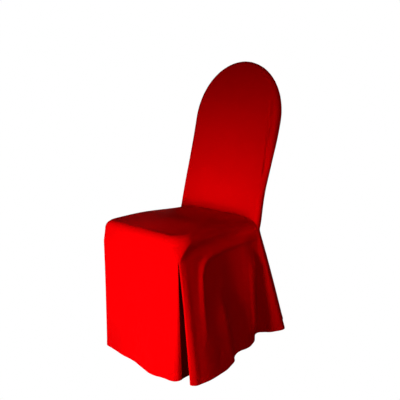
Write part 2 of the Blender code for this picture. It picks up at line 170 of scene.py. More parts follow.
# Rounds a corner: a place this far from it along a straight edge lies at run along that edge,
# inset from it, with the outward direction turned by this angle towards the corner
def rounded(distance, radius):
    turn = math.pi / 4 * (1.0 - np.minimum(distance / radius, 1.0))
    near = distance < radius
    run = np.where(near, radius * (1.0 - np.sin(turn)), distance)
    inset = np.where(near, radius * (1.0 - np.cos(turn)), 0.0)
    return run, inset, np.where(near, turn, 0.0)


# Outline of the seat on its right side at these distances from the corner, moved out: the seat's
# half less the rounding's inset
def sideEdge(thread, radius, out):
    run, inset, turn = rounded(thread, radius)
    return seatHalfAt(run) - inset + out * np.cos(turn), run - out * np.sin(turn)


# Outline of the seat across its front at these places, moved out: straight across, then back by
# the rounding's inset
def frontEdge(thread, radius, out):
    run, inset, turn = rounded(cover["seatHalf"][1][0] - np.abs(thread), radius)
    x = cover["seatHalf"][1][0] - run + out * np.sin(turn)
    return np.sign(thread) * x, inset - out * np.cos(turn)


# How far the skirt seam is drawn in: everywhere a little, more in the valley of the side
def seamTuck(y):
    (start, startOver), (end, endOver) = cover["valleyFront"], cover["valleyRear"]
    valley = ease((y - start) / startOver) * (1.0 - ease((y - end) / endOver))
    return cover["seamTuck"] + cover["valleyTuck"] * valley


# One mesh from a grid of points: points that are equal to a thousandth of a millimetre become one
# vertex, empty faces go, then each vertex moves along its normal by the height of its grid place.
# UV is in metres on the cloth.
def panelMesh(name, points, uv, height, outward, material):
    rows, columns = points.shape[:2]
    keys = np.round(points.reshape(-1, 3) * 1e6).astype(np.int64)
    _, first, same = np.unique(keys, axis=0, return_index=True, return_inverse=True)
    same = same.reshape(rows, columns)
    place = points.reshape(-1, 3)[first]
    lift = height.reshape(-1)[first]
    grid = np.arange(rows * columns).reshape(rows, columns)
    corners = np.stack((grid[:-1, :-1], grid[1:, :-1], grid[1:, 1:], grid[:-1, 1:]), axis=-1)
    corners = corners.reshape(-1, 4)
    faces = same.reshape(-1)[corners]
    a, b = place[faces[:, 2]] - place[faces[:, 0]], place[faces[:, 3]] - place[faces[:, 1]]
    normal = np.cross(a, b)
    nothing = 1e-12
    keep = np.linalg.norm(normal, axis=1) > nothing
    faces, corners, normal = faces[keep], corners[keep], normal[keep]
    if np.dot(normal.sum(0), outward) < 0:
        faces, corners, normal = faces[:, ::-1], corners[:, ::-1], -normal
    vertexNormal = np.zeros_like(place)
    for k in range(4):
        np.add.at(vertexNormal, faces[:, k], normal)
    vertexNormal /= np.maximum(np.linalg.norm(vertexNormal, axis=1, keepdims=True), nothing)
    place = place + vertexNormal * lift[:, None]
    place[:, 1] -= cover["middleBack"]

    # a corner that repeats the one before it is dropped, which leaves a triangle
    kept = faces != np.roll(faces, 1, axis=1)
    loops, uvLoops, sizes = faces[kept], uv.reshape(-1, 2)[corners[kept]], kept.sum(axis=1)
    starts = np.cumsum(sizes) - sizes

    mesh = bpy.data.meshes.new(name)
    mesh.vertices.add(len(place))
    mesh.vertices.foreach_set("co", place.astype(np.float32).ravel())
    mesh.loops.add(len(loops))
    mesh.loops.foreach_set("vertex_index", loops.astype(np.int32))
    mesh.polygons.add(len(sizes))
    mesh.polygons.foreach_set("loop_start", starts.astype(np.int32))
    mesh.polygons.foreach_set("loop_total", sizes.astype(np.int32))
    mesh.uv_layers.new(name="cloth").data.foreach_set("uv", uvLoops.astype(np.float32).ravel())
    mesh.update(calc_edges=True)
    mesh.validate()
    mesh.shade_smooth()
    mesh.materials.append(material)
    piece = bpy.data.objects.new(name, mesh)
    bpy.context.scene.collection.objects.link(piece)
    wall = piece.modifiers.new("cloth thickness", "SOLIDIFY")
    wall.thickness = cover["clothThick"]
    wall.offset = -1.0
    area = np.linalg.norm(normal, axis=1).sum() / 2
    print(f"{name}: {len(place)} points, {area:.3f} square metres")
    return piece


# Length walked along an axis of a grid of points, from its start
def walked(points, axis):
    step = np.linalg.norm(np.diff(points, axis=axis), axis=-1)
    start = np.zeros_like(np.take(step, [0], axis=axis))
    return np.concatenate((start, np.cumsum(step, axis=axis)), axis=axis)


# UV of a drop: along its middle row, and down each thread
def dropUv(points):
    along = walked(points, 0)[:, points.shape[1] // 2][:, None]
    return stack(along, -walked(points, 1))


# UV of a face whose columns run in to a middle line: each point is as far out from that line as the
# cloth between them is long
def facingUv(points, middle, inward):
    run = walked(points[:, ::-1], 1)[:, ::-1]
    return middle[:, None, :] - inward[:, None, :] * run[..., None]


# Rows of points that each drop has just under its seam and just above its hem, in metres, and
# how many evenly between them
dropGrid = {
    "underSeam": (0.0, 0.0008, 0.0018, 0.0032, 0.005, 0.0075, 0.0105),
    "aboveHem": (0.0225, 0.0195, 0.0175, 0.0160, 0.0148, 0.0138, 0.0128,
                 0.0118, 0.0108, 0.0090, 0.0060, 0.0030, 0.0010, 0.0),
    "between": 82,
}


# The rows of a drop this tall, as shares of its height
def dropRows(tall):
    top = np.array(dropGrid["underSeam"]) / tall
    bottom = 1.0 - np.array(dropGrid["aboveHem"]) / tall
    middle = np.linspace(top[-1], bottom[0], dropGrid["between"] + 2)[1:-1]
    return np.concatenate((top, middle, bottom))


# Seams and hems in the cloth's relief. Below means under the top edge of the turned hem.
sewing = {
    "hemDeep": 0.016, "hemProud": 0.00045, "edgeBelow": 0.001, "edgeWide": 0.002,
    "dip": 0.00045, "dipBelow": 0.0035, "dipWide": 0.0011,
    "hemPucker": 0.00030, "hemPuckerLong": 0.016, "hemPuckerBelow": 0.004, "hemPuckerWide": 0.010,
    "hemPuckerSlant": 0.3,
    "seamPucker": 0.00045, "seamPuckerLong": 0.014, "seamFlat": 0.0025, "seamReach": 0.013,
}


# The turned hem on a drop: a band a little proud, the dip of its stitch line, and small puckers
def hemRelief(aboveHem, along, seed):
    above = aboveHem - sewing["hemDeep"]
    band = sewing["hemProud"] * (1.0 - ease((above + sewing["edgeBelow"]) / sewing["edgeWide"]))
    dip = -sewing["dip"] * bump(above + sewing["dipBelow"], sewing["dipWide"])
    waves = restless(along, aboveHem * sewing["hemPuckerSlant"], sewing["hemPuckerLong"], seed)
    near = bump(above + sewing["hemPuckerBelow"], sewing["hemPuckerWide"])
    return band + dip + sewing["hemPucker"] * waves * near


# Little gathers that cross a seam and die out a finger's width away from it
def seamPuckers(fromSeam, along, seed):
    reach = ease(fromSeam / sewing["seamFlat"]) * bump(fromSeam, sewing["seamReach"])
    waves = restless(along, 0.0 * along, sewing["seamPuckerLong"], seed)
    return sewing["seamPucker"] * waves * reach


# Plain woven cloth: the tone is the middle of the ramp plus even parts of dye, uneven yarn and
# weave; the weave and the yarn also raise a fine bump, and a soft one lies under it
def clothMaterial(name, look):
    material = bpy.data.materials.new(name)
    material.use_nodes = True
    nodes, links = material.node_tree.nodes, material.node_tree.links
    shader = nodes["Principled BSDF"]
    for socket, value in look["shader"].items():
        shader.inputs[socket].default_value = value

    uv = nodes.new("ShaderNodeUVMap")
    uv.uv_map = "cloth"
    place = nodes.new("ShaderNodeTexCoord")

    # Threads in one direction: sine bands one pitch apart, a little wavy
    def wave(direction):
        threads = nodes.new("ShaderNodeTexWave")
        threads.bands_direction = direction
        threads.inputs["Scale"].default_value = look["bandAtScaleOne"] / look["threadPitch"]
        for socket, value in look["threads"].items():
            threads.inputs[socket].default_value = value
        links.new(uv.outputs["UV"], threads.inputs["Vector"])
        return threads.outputs["Fac"]

    # Noise in the source's coordinates, stretched first if asked
    def noise(source, scale, detail, stretch=None):
        cloud = nodes.new("ShaderNodeTexNoise")
        cloud.inputs["Scale"].default_value = scale
        cloud.inputs["Detail"].default_value = detail
        if stretch:
            scaled = nodes.new("ShaderNodeMapping")
            scaled.inputs["Scale"].default_value = stretch
            links.new(source, scaled.inputs["Vector"])
            source = scaled.outputs["Vector"]
        links.new(source, cloud.inputs["Vector"])
        return cloud.outputs["Fac"]

    # One sum, product or maximum of two values, each a socket or a number
    def combine(kind, a, b):
        made = nodes.new("ShaderNodeMath")
        made.operation = kind
        for socket, value in zip(made.inputs, (a, b)):
            if isinstance(value, float):
                socket.default_value = value
            else:
                links.new(value, socket)
        return made.outputs[0]

    # A value from 0 to 1 carried to low to high in proportion
    def ranged(value, low, high):
        fit = nodes.new("ShaderNodeMapRange")
        fit.inputs["To Min"].default_value = low
        fit.inputs["To Max"].default_value = high
        links.new(value, fit.inputs["Value"])
        return fit.outputs["Result"]

    onPiece = place.outputs["Object"]
    weave = combine("MAXIMUM", wave("X"), wave("Y"))
    slub = noise(uv.outputs["UV"], *look["slubNoise"], look["slubStretch"])     # uneven yarn
    cloud = noise(onPiece, *look["cloudNoise"])                 # dye that took unevenly
    wear = noise(onPiece, *look["wearNoise"])

    dye = ranged(cloud, -look["cloudy"], look["cloudy"])
    tone = combine("ADD", dye, ranged(slub, -look["slubby"], look["slubby"]))
    tone = combine("ADD", tone, ranged(weave, -look["weaveTone"], look["weaveTone"]))
    tone = combine("ADD", tone, look["middleTone"])
    colours = nodes.new("ShaderNodeValToRGB")
    colours.color_ramp.elements[0].color = look["deep"]
    colours.color_ramp.elements[1].color = look["light"]
    links.new(tone, colours.inputs["Fac"])
    links.new(colours.outputs["Color"], shader.inputs["Base Color"])
    rough = combine("ADD", ranged(wear, *look["rough"]), ranged(weave, *look["weaveRough"]))
    links.new(rough, shader.inputs["Roughness"])

    fine = nodes.new("ShaderNodeBump")
    fine.inputs["Strength"].default_value = look["weaveBump"]
    fine.inputs["Distance"].default_value = look["weaveHigh"]
    yarn = combine("MULTIPLY", slub, look["slubBump"])
    links.new(combine("ADD", weave, yarn), fine.inputs["Height"])
    soft = nodes.new("ShaderNodeBump")
    soft.inputs["Strength"].default_value = look["crumple"]
    soft.inputs["Distance"].default_value = look["crumpleHigh"]
    links.new(noise(onPiece, *look["crumpleNoise"]), soft.inputs["Height"])
    links.new(fine.outputs["Normal"], soft.inputs["Normal"])
    links.new(soft.outputs["Normal"], shader.inputs["Normal"])
    material.diffuse_color = look["light"]
    return material


redLook = {
    "deep": (0.54, 0.0, 0.0006, 1.0), "light": (0.84, 0.0, 0.0010, 1.0),
    "shader": {
        "Specular IOR Level": 0.04, "Specular Tint": (1.0, 0.0, 0.002, 1.0),
        "Sheen Weight": 0.10, "Sheen Roughness": 0.45, "Sheen Tint": (1.0, 0.0, 0.002, 1.0),
    },
    "threadPitch": 0.00055, "bandAtScaleOne": 0.314,    # metres
    "threads": {"Distortion": 0.6, "Detail": 1.0, "Detail Scale": 0.4},
    "weaveBump": 0.45, "weaveHigh": 0.00012, "weaveTone": 0.10, "weaveRough": (0.03, -0.03),
    # each noise has a scale and a detail
    "slubNoise": (60.0, 3.0), "slubStretch": (1.0, 14.0, 1.0), "slubby": 0.12, "slubBump": 0.7,
    "cloudNoise": (7.0, 3.0), "cloudy": 0.16, "middleTone": 0.5,
    "crumpleNoise": (26.0, 2.0), "crumpleHigh": 0.0012, "crumple": 0.10,
    "wearNoise": (38.0, 4.0), "rough": (0.58, 0.72),
}
# the same cloth with painted shade: a much darker colour stands for the shadow deep in a pleat, and
# it is duller
pleatShadeLook = {
    **redLook,
    "deep": (0.12, 0.0, 0.0002, 1.0), "light": (0.22, 0.0, 0.0003, 1.0),
    "rough": (0.70, 0.82), "shader": {**redLook["shader"], "Sheen Weight": 0.02},
}
redCloth = clothMaterial("redCloth", redLook)
# the pleats' material, its colour darkened as painted shade
pleatShadeCloth = clothMaterial("pleatShadeCloth", pleatShadeLook)

# Seat panel. Threads are the places on its outline where the grid has knots, from the rear to the
# corner and from the corner to the middle of the front.
seat = {
    "edgeZ": 0.468, "rearZ": 0.461, "roll": 0.031, "puff": 0.0010,
    "crown": 0.015, "sideRise": 0.006, "middleY": 0.200, "fadeFromY": 0.120, "creaseY": 0.370,
    "sideThreads": (0.370, 0.325, 0.28, 0.235, 0.19, 0.15, 0.12, 0.09, 0.067, 0.045, 0.025,
                    0.012, 0.006),
    "frontThreads": (0.1966, 0.1906, 0.1846, 0.1750, 0.155, 0.120, 0.090, 0.060, 0.030, 0.0),
    "threadSteps": 8, "sideRows": 13, "sideBunch": 1.2, "rollRows": 16, "topRows": 30,
    # the rear edge runs up into the back, but not at its two ends
    "filletWide": 0.040, "filletHigh": 0.009, "filletEnd": 0.175, "filletFade": 0.06,
    "topFromZ": 0.432, "topFade": 0.02, "sideFromX": 0.12, "sideFade": 0.05,
    "offBack": 0.0006, "waveHigh": 0.0007, "waveLong": 0.13, "quiet": 0.02, "creaseQuiet": 0.006,
}
slope = {"recline": math.radians(15.0), "creaseZ": 0.458}


# How far behind the seat's front face the back's face is at this height: the crease, then the slope
def backFaceY(z):
    return seat["creaseY"] + (z - slope["creaseZ"]) * math.tan(slope["recline"])


# Crown of the cushion: a round hill, 1 - across^2 by 1 - ahead^2, that fades towards the crease
def seatCrown(x, y):
    across = x / (cover["seatHalf"][1][0] - seat["roll"])
    ahead = np.maximum(seat["middleY"] - y, 0.0) / (seat["middleY"] - seat["roll"])
    behind = ease((y - seat["fadeFromY"]) / (seat["creaseY"] - seat["fadeFromY"]))
    hill = np.maximum(1.0 - across**2, 0.0) * np.maximum(1.0 - ahead**2, 0.0)
    return seat["crown"] * hill * (1.0 - behind) - (seat["edgeZ"] - seat["rearZ"]) * behind


# Whole outline of the seat from the rear left to the rear right, with these radii of its two
# front corners, moved out across the front
def seatOutline(radii, outFront):
    side = spread(seat["sideThreads"], seat["threadSteps"])
    front = spread(seat["frontThreads"], seat["threadSteps"])
    halves = []
    for radius in radii:
        sideX, sideY = sideEdge(side, radius, 0.0)
        frontX, frontY = frontEdge(front, radius, outFront)
        halves.append(np.concatenate((stack(-sideX, sideY), stack(-frontX, frontY)[1:])))
    left, right = halves
    return np.concatenate((left, right[-2::-1] * (-1.0, 1.0)))


# Seat panel: up from the seam over the puffed side, a quarter circle round the edge, then over the
# crown to the middle
def makeSeat():
    rows = []
    shoulder = seat["edgeZ"] - seat["roll"]
    seamRadii, topRadii = np.full(2, cover["seamRadius"]), np.array(cover["topRadii"])
    seam = seatOutline(seamRadii, 0.0)
    bottom = seamHeight(seam[:, 1])
    for share in ease(np.linspace(0.0, 1.0, seat["sideRows"]) ** seat["sideBunch"]):
        outline = seatOutline(seamRadii + (topRadii - seamRadii) * share, seat["puff"] * share)
        rows.append(np.column_stack((outline, bottom + (shoulder - bottom) * share)))
    full = seatOutline(topRadii, seat["puff"])
    middle = stack(0.0 * full[:, 0], np.maximum(full[:, 1], seat["middleY"]))
    inward = middle - full
    reach = np.linalg.norm(inward, axis=1, keepdims=True)
    inward = inward / reach
    rise = seat["sideRise"] * np.sin(math.pi * np.clip(full[:, 1] / seat["creaseY"], 0.0, 1.0))
    edgeX = full[:, 0] * (1.0 - seat["roll"] / cover["seatHalf"][1][0])
    edgeZ = rise + seatCrown(edgeX, full[:, 1])
    for angle in np.linspace(0.0, math.pi / 2, seat["rollRows"] + 1)[1:]:
        flat = full + inward * seat["roll"] * (1.0 - math.cos(angle))
        rows.append(np.column_stack((flat, shoulder + (seat["roll"] + edgeZ) * math.sin(angle))))
    for share in np.linspace(0.0, 1.0, seat["topRows"] + 1)[1:]:
        flat = full + inward * (seat["roll"] + (reach - seat["roll"]) * share)
        z = seat["edgeZ"] + rise * (1.0 - ease(share)) + seatCrown(flat[:, 0], flat[:, 1])
        rows.append(np.column_stack((flat, z)))
    points = np.stack(rows, axis=1)

    # the side is drawn in towards the seam, most of all in the valley
    above = (points[..., 2] - bottom[:, None]) / cover["valleyHigh"]
    outerY = points[:, :1, 1]
    onSide = ease((np.abs(points[..., 0]) - seat["sideFromX"]) / seat["sideFade"])
    points[..., 0] -= np.sign(points[..., 0]) * seamTuck(outerY) * (1.0 - ease(above)) * onSide

    # the fillet before the back rises as the square of the nearness to it
    fromRear = seat["creaseY"] - points[..., 1]
    onTop = ease((points[..., 2] - seat["topFromZ"]) / seat["topFade"])
    inMiddle = ease((seat["filletEnd"] - np.abs(points[..., 0])) / seat["filletFade"])
    nearness = np.clip(1.0 - fromRear / seat["filletWide"], 0.0, 1.0)
    points[..., 2] += seat["filletHigh"] * nearness ** 2 * onTop * inMiddle
    for end in (0, -1):
        points[end, :, 1] = backFaceY(points[end, :, 2]) - seat["offBack"]
    uv = facingUv(points, middle, inward)
    fromSeam = walked(points, 1)
    around = walked(points, 0)[:, seat["sideRows"] - 1][:, None] + 0.0 * fromSeam
    quiet = ease(fromSeam / seat["quiet"]) * ease(fromRear / seat["quiet"])
    waves = restless(points[..., 0], points[..., 1], seat["waveLong"], 11)
    height = seamPuckers(fromSeam, around, 3) + seat["waveHigh"] * waves * quiet
    height = height * ease(fromRear / seat["creaseQuiet"])
    return panelMesh("seatCloth", points, uv, height, (0, 0, 1), redCloth)


# Back, worked out on its own slope as (across, up, in front of the face)
back = {
    "domeBase": 0.357, "domeRise": 0.213, "crown": 0.005, "crownFullUp": 0.150, "rim": 0.020,
    "groove": 0.0011, "grooveWide": 0.16,
    "legRows": 60, "domeRows": 121, "waistRows": 5,
    # columns round the rim, then to the middle, closer together where the drag folds lie
    "rimShares": np.linspace(0.0, 1.0, 15) ** 1.25,
    "acrossShares": np.linspace(0.0, 1.0, 57)[1:] ** 1.9,
    "waveHigh": 0.0006, "waveLong": 0.16, "quiet": 0.03, "foldQuiet": 0.010,
    "creaseUp": 0.005, "creaseQuiet": 0.04,
    "dragFolds": creaseTable(
        # the cloth drops steeply off the chair's right edge and swells again in the slack beyond it
        (((0.155, 0.450), (0.165, 0.374), (0.172, 0.321), (0.179, 0.262),
          (0.184, 0.200), (0.186, 0.120)),
         0.0042, 0.0130, -0.0115, 0.40, 0.30),
        # short drags out of both ends of the crease
        (((-0.190, 0.020), (-0.165, 0.045), (-0.130, 0.062)),
         0.0055, 0.0055, -0.0016, 0.15, 0.60),
        (((-0.180, 0.008), (-0.150, 0.024), (-0.105, 0.030)), 0.0050, 0.0050, 0.0013, 0.15, 0.60),
        (((0.185, 0.012), (0.155, 0.028), (0.120, 0.034)), 0.0050, 0.0050, -0.0010, 0.15, 0.60),
    ),
}
backSections = table(
    ("up", "half", "thick"),
    (0.00, 0.1980, 0.034), (0.10, 0.1963, 0.0275), (0.20, 0.1970, 0.037),
    (0.31, 0.1995, 0.046), (0.357, 0.2005, 0.045), (0.57, 0.2005, 0.034),
)


# Half the back's width at this place up its slope
def backHalf(up):
    return np.interp(up, backSections["up"], backSections["half"])


# The back's thickness at this place up its slope
def backThick(up):
    return smooth(backSections["up"], backSections["thick"], up)


# Points from places on the back's slope: the crease + across * X + up * the slope + front * its
# normal, which points forward and up
def onSlope(across, up, front):
    s, c = math.sin(slope["recline"]), math.cos(slope["recline"])
    y = seat["creaseY"] + up * s - front * c
    return stack(across + 0.0 * front, y, slope["creaseZ"] + up * c + front * s)


# Outline of the back from the left end of the crease over the dome, a half ellipse, to the right
# end, and for each place the one on the middle line that its column of points runs to
def backOutline():
    legUp = np.linspace(0.0, back["domeBase"], back["legRows"] + 1)[:-1]
    leg = stack(-smooth(backSections["up"], backSections["half"], legUp), legUp)
    angle = np.linspace(math.pi, 0.0, back["domeRows"])
    domeUp = back["domeBase"] + back["domeRise"] * np.sin(angle)
    dome = stack(backHalf(back["domeBase"]) * np.cos(angle), domeUp)
    outline = np.concatenate((leg, dome, leg[::-1] * (-1.0, 1.0)))
    middle = stack(0.0 * outline[:, 0], np.minimum(outline[:, 1], back["domeBase"]))
    return outline, middle


# Swell of a face of the back: 1 - across^2 - over^2, nothing at the rim and at the crease
def backCrown(across, up):
    across = across / (backSections["half"][0] - back["rim"])
    over = np.maximum(up - back["domeBase"], 0.0) / (back["domeRise"] - back["rim"])
    swell = np.maximum(1.0 - across**2 - over**2, 0.0)
    return back["crown"] * swell * ease(up / back["crownFullUp"])


# One face of the back: from the seam in the middle of its edge, a quarter circle round the edge,
# then in to the middle line. Side is 1 for the front face and -1 for the rear one.
def backFace(side):
    outline, middle = backOutline()
    radius = backThick(outline[:, 1]) / 2
    inward = middle - outline
    reach = np.linalg.norm(inward, axis=1)
    inward = inward / reach[:, None]
    rows = []
    for share in back["rimShares"]:
        angle = math.pi / 2 * share
        drawn = back["groove"] * (1.0 - ease(share / back["grooveWide"]))
        flat = outline + inward * (radius * (1.0 - math.cos(angle)) + drawn)[:, None]
        rows.append(stack(flat[:, 0], flat[:, 1], -radius + side * radius * math.sin(angle)))
    for share in back["acrossShares"]:
        flat = outline + inward * (radius + (reach - radius) * share)[:, None]
        half = radius + (backThick(flat[:, 1]) / 2 - radius) * ease(share)
        swell = half + backCrown(flat[:, 0], flat[:, 1])
        rows.append(stack(flat[:, 0], flat[:, 1], -half + side * swell))
    return np.stack(rows, axis=1), middle, inward


# One end of a face carried down its slope in even steps to the waist, where all points are at the
# same height
def toWaist(face, end):
    start = face[end]
    front = start[:, 2]
    drop = cover["waistZ"] - slope["creaseZ"] - front * math.sin(slope["recline"])
    fall = drop / math.cos(slope["recline"]) - start[:, 1]
    shares = np.linspace(0.0, 1.0, back["waistRows"] + 1)[1:]
    return np.stack([stack(start[:, 0], start[:, 1] + fall * share, front) for share in shares])


# A row of places repeated on both ends, for rows that are added there
def padded(places, count):
    before, after = np.repeat(places[:1], count, 0), np.repeat(places[-1:], count, 0)
    return np.concatenate((before, places, after))


# Inside back: the front face of the dome, carried down behind the seat to the waist
def makeInsideBack():
    face, middle, inward = backFace(1.0)
    left, right = toWaist(face, 0)[::-1], toWaist(face, -1)
    flat = np.concatenate((left, face, right))
    points = onSlope(flat[..., 0], flat[..., 1], flat[..., 2])
    leftMiddle, rightMiddle = (stack(0.0 * end[:, 0, 0], end[:, -1, 1]) for end in (left, right))
    middle = np.concatenate((leftMiddle, middle, rightMiddle))
    uv = facingUv(points, middle, padded(inward, back["waistRows"]))
    fromSeam = walked(points, 1)
    around = walked(points, 0)[:, len(back["rimShares"]) - 1][:, None] + 0.0 * fromSeam
    quiet = ease(fromSeam / back["quiet"])
    quiet = quiet * ease((flat[..., 1] - back["creaseUp"]) / back["creaseQuiet"])
    folds = creases(flat[..., 0], flat[..., 1], back["dragFolds"])
    height = folds * ease(fromSeam / back["foldQuiet"]) + seamPuckers(fromSeam, around, 5)
    waves = restless(flat[..., 0], flat[..., 1], back["waveLong"], 21)
    height = height + back["waveHigh"] * waves * quiet
    return panelMesh("insideBackCloth", points, uv, height, (0, -1, 0), redCloth)


# Hems of the drops: the thread that starts at this place along the seam (top) ends here. Up is the
# height off the floor, and late the power by which a side drop swings out as it falls. Both side
# hems end with the same back and up, where the rear drop's hem begins.
frontHem = table(
    ("top", "across", "back"),
    (-0.1958, -0.2015, 0.0160), (-0.1906, -0.2040, 0.0090), (-0.1846, -0.2010, 0.0020),
    (-0.160, -0.165, -0.0035), (-0.120, -0.122, -0.0080), (-0.080, -0.083, -0.0120),
    (-0.040, -0.042, -0.0115), (0.000, 0.000, -0.0170), (0.045, 0.043, -0.0260),
    (0.080, 0.080, -0.0325), (0.108, 0.108, -0.0305), (0.130, 0.1310, -0.0225),
    (0.152, 0.1500, -0.0190), (0.172, 0.1690, -0.0170), (0.1846, 0.1825, -0.0095),
    (0.1906, 0.1880, -0.0005), (0.1958, 0.1890, 0.0130),
)
rightHem = table(
    ("top", "back", "out", "up", "late"),
    (0.0008, 0.0130, 0.2350, 0.005, 1.0), (0.0060, 0.0030, 0.2365, 0.006, 1.0),
    (0.0120, -0.0010, 0.2420, 0.006, 1.0), (0.0250, 0.0110, 0.2515, 0.003, 1.0),
    (0.0450, 0.0410, 0.2510, 0.001, 1.1), (0.0650, 0.0710, 0.2490, 0.000, 1.1),
    (0.0900, 0.1010, 0.2465, 0.000, 1.1), (0.1200, 0.1340, 0.2430, 0.000, 1.2),
    (0.1500, 0.1660, 0.2390, 0.001, 1.3), (0.1800, 0.1960, 0.2290, 0.006, 1.4),
    (0.2150, 0.2420, 0.2040, 0.013, 1.4), (0.2450, 0.2690, 0.2000, 0.016, 1.3),
    (0.2800, 0.3010, 0.2055, 0.018, 1.1), (0.3150, 0.3300, 0.2080, 0.022, 1.0),
    (0.3350, 0.3540, 0.2020, 0.028, 1.3), (0.3480, 0.3830, 0.1800, 0.030, 1.8),
    (0.3580, 0.4090, 0.1750, 0.030, 1.8), (0.3660, 0.4290, 0.1870, 0.029, 1.5),
    (0.3720, 0.4580, 0.2080, 0.028, 1.2), (0.3760, 0.5050, 0.2200, 0.029, 1.0),
    (0.3800, 0.5540, 0.1680, 0.032, 1.0),
)
leftHem = table(
    ("top", "back", "out", "up", "late"),
    (0.0008, 0.0240, 0.2035, 0.000, 1.0), (0.0060, 0.0185, 0.2060, 0.000, 1.0),
    (0.0120, 0.0200, 0.2090, 0.000, 1.0), (0.0250, 0.0320, 0.2150, 0.000, 1.2),
    (0.0450, 0.0550, 0.2280, 0.000, 1.4), (0.0900, 0.1010, 0.2490, 0.001, 1.3),
    (0.1200, 0.1340, 0.2525, 0.001, 1.2), (0.1500, 0.1690, 0.2430, 0.003, 1.3),
    (0.1850, 0.2070, 0.2190, 0.005, 1.5), (0.2200, 0.2500, 0.2030, 0.006, 1.5),
    (0.2500, 0.2850, 0.2090, 0.006, 1.4), (0.2800, 0.3190, 0.2170, 0.007, 1.3),
    (0.3200, 0.3680, 0.2060, 0.008, 1.4), (0.3400, 0.4020, 0.1830, 0.012, 1.6),
    (0.3560, 0.4360, 0.1700, 0.017, 1.7), (0.3680, 0.4680, 0.1780, 0.022, 1.5),
    (0.3750, 0.5050, 0.1880, 0.026, 1.1), (0.3800, 0.5540, 0.1800, 0.032, 1.0),
)
drops = {
    "frontTall": 0.393, "sideTall": 0.42, "threadSteps": 11,
    "frontSwing": 1.2, "rearSwing": 0.93, "rearStart": 0.04, "foldSwing": 1.5, "rearTurnY": 0.330,
    "waistRadius": 0.017, "hemRadius": 0.028, "hemBulge": 0.010,
    "ridgeGentle": 0.015, "ridgeSharp": 0.0080, "ridgeFrom": 0.030, "ridgeFull": 0.070,
    "ridgeShare": 0.03,
    "tuckFall": 0.005, "foldFall": 0.012, "waveFall": 0.08, "cornerQuiet": 0.004,
    "waveLong": 0.10, "waveDown": 0.35, "frontWave": 0.0011, "frontAcross": 1.6,
    "sideWave": 0.0010, "sideAcross": 1.7,
}
# the ridge where the seat rail and the leg push a side drop out, from the rear to the leg's foot
railRidge = table(
    ("back", "up", "out"),
    (0.376, 0.398, 0.0010), (0.330, 0.398, 0.0050), (0.257, 0.396, 0.0070), (0.203, 0.391, 0.0075),
    (0.150, 0.386, 0.0075), (0.122, 0.377, 0.0070), (0.105, 0.360, 0.0065), (0.095, 0.334, 0.0060),
    (0.091, 0.300, 0.0055), (0.087, 0.240, 0.0045), (0.085, 0.170, 0.0022), (0.084, 0.100, 0.0),
)


# Corner seam of a side drop and the rear drop: x and z straight, y by a softened power of the share
def cornerSeam(share, hem):
    topX = backSections["half"][0]
    topY = backFaceY(cover["waistZ"]) + backSections["thick"][0] / 2 / math.cos(slope["recline"])
    start = drops["rearStart"]
    swing = (np.hypot(share, start) - start) / (math.hypot(1.0, start) - start)
    swing = swing ** drops["rearSwing"]
    return (topX + (hem["out"][-1] - topX) * share,
            topY + (hem["back"][-1] - topY) * swing,
            cover["waistZ"] + (hem["up"][-1] - cover["waistZ"]) * share)


frontFolds = creaseTable(
    # puckers beside the pleat's top and at both ends of the hem, then two long soft folds
    (((0.184, 0.378), (0.166, 0.366), (0.140, 0.352)), 0.0055, 0.0055, -0.0030, 0.15, 0.6),
    (((0.186, 0.362), (0.170, 0.344), (0.152, 0.322)), 0.0045, 0.0045, 0.0013, 0.2, 0.6),
    (((0.180, 0.018), (0.164, 0.038), (0.144, 0.050)), 0.0060, 0.0060, -0.0034, 0.2, 0.5),
    (((0.190, 0.045), (0.176, 0.062), (0.160, 0.070)), 0.0045, 0.0045, 0.0014, 0.2, 0.5),
    (((-0.190, 0.040), (-0.170, 0.058), (-0.150, 0.064)), 0.0050, 0.0050, -0.0014, 0.2, 0.5),
    (((-0.070, 0.330), (-0.066, 0.180), (-0.058, 0.000)), 0.022, 0.022, -0.0016, 0.5, 0.05),
    (((0.030, 0.300), (0.018, 0.150), (0.012, 0.000)), 0.018, 0.018, 0.0012, 0.5, 0.05),
)


# Front drop: each thread falls straight in x, and swings out in y by share^frontSwing
def makeFrontDrop():
    thread = spread(frontHem["top"], drops["threadSteps"])
    topX, topY = frontEdge(thread, cover["seamRadius"], -cover["seamTuck"])
    topX, topY = topX[:, None], topY[:, None]
    topZ = seamHeight(topY)
    hemX, hemY = (
        smooth(frontHem["top"], frontHem[key], thread)[:, None] for key in ("across", "back"))
    share = dropRows(drops["frontTall"])[None, :]
    fall = share * topZ
    drawn = cover["seamTuck"] * ease(fall / drops["tuckFall"])
    x = topX + (hemX - topX) * share
    y = topY - drawn + (hemY - topY) * share ** drops["frontSwing"]
    z = topZ * (1.0 - share)
    points = stack(x, y, z)
    uv = dropUv(points)
    along = uv[..., 0]
    height = creases(x + 0.0 * z, z, frontFolds) * ease(fall / drops["foldFall"])
    height = height + seamPuckers(fall, along, 7) + hemRelief(z + 0.0 * x, along, 8)
    waves = restless(x * drops["frontAcross"], z * drops["waveDown"], drops["waveLong"], 31)
    height = height + drops["frontWave"] * waves * ease(fall / drops["waveFall"])
    return panelMesh("frontDropCloth", points, uv, height, (0, -1, 0), redCloth)


# How far rail and leg push a side drop out here: a bump across the ridge, sharper under the rail
# and behind the leg
def railPush(y, z):
    away, place, side = nearLine(y, z, stack(railRidge["back"], railRidge["up"]))
    steps = np.hypot(np.diff(railRidge["back"]), np.diff(railRidge["up"]))
    reached = np.concatenate(([0.0], np.cumsum(steps))) / steps.sum()
    width = np.where(side < 0.0, drops["ridgeGentle"], drops["ridgeSharp"])
    return np.interp(place, reached, railRidge["out"]) * bump(away, width)


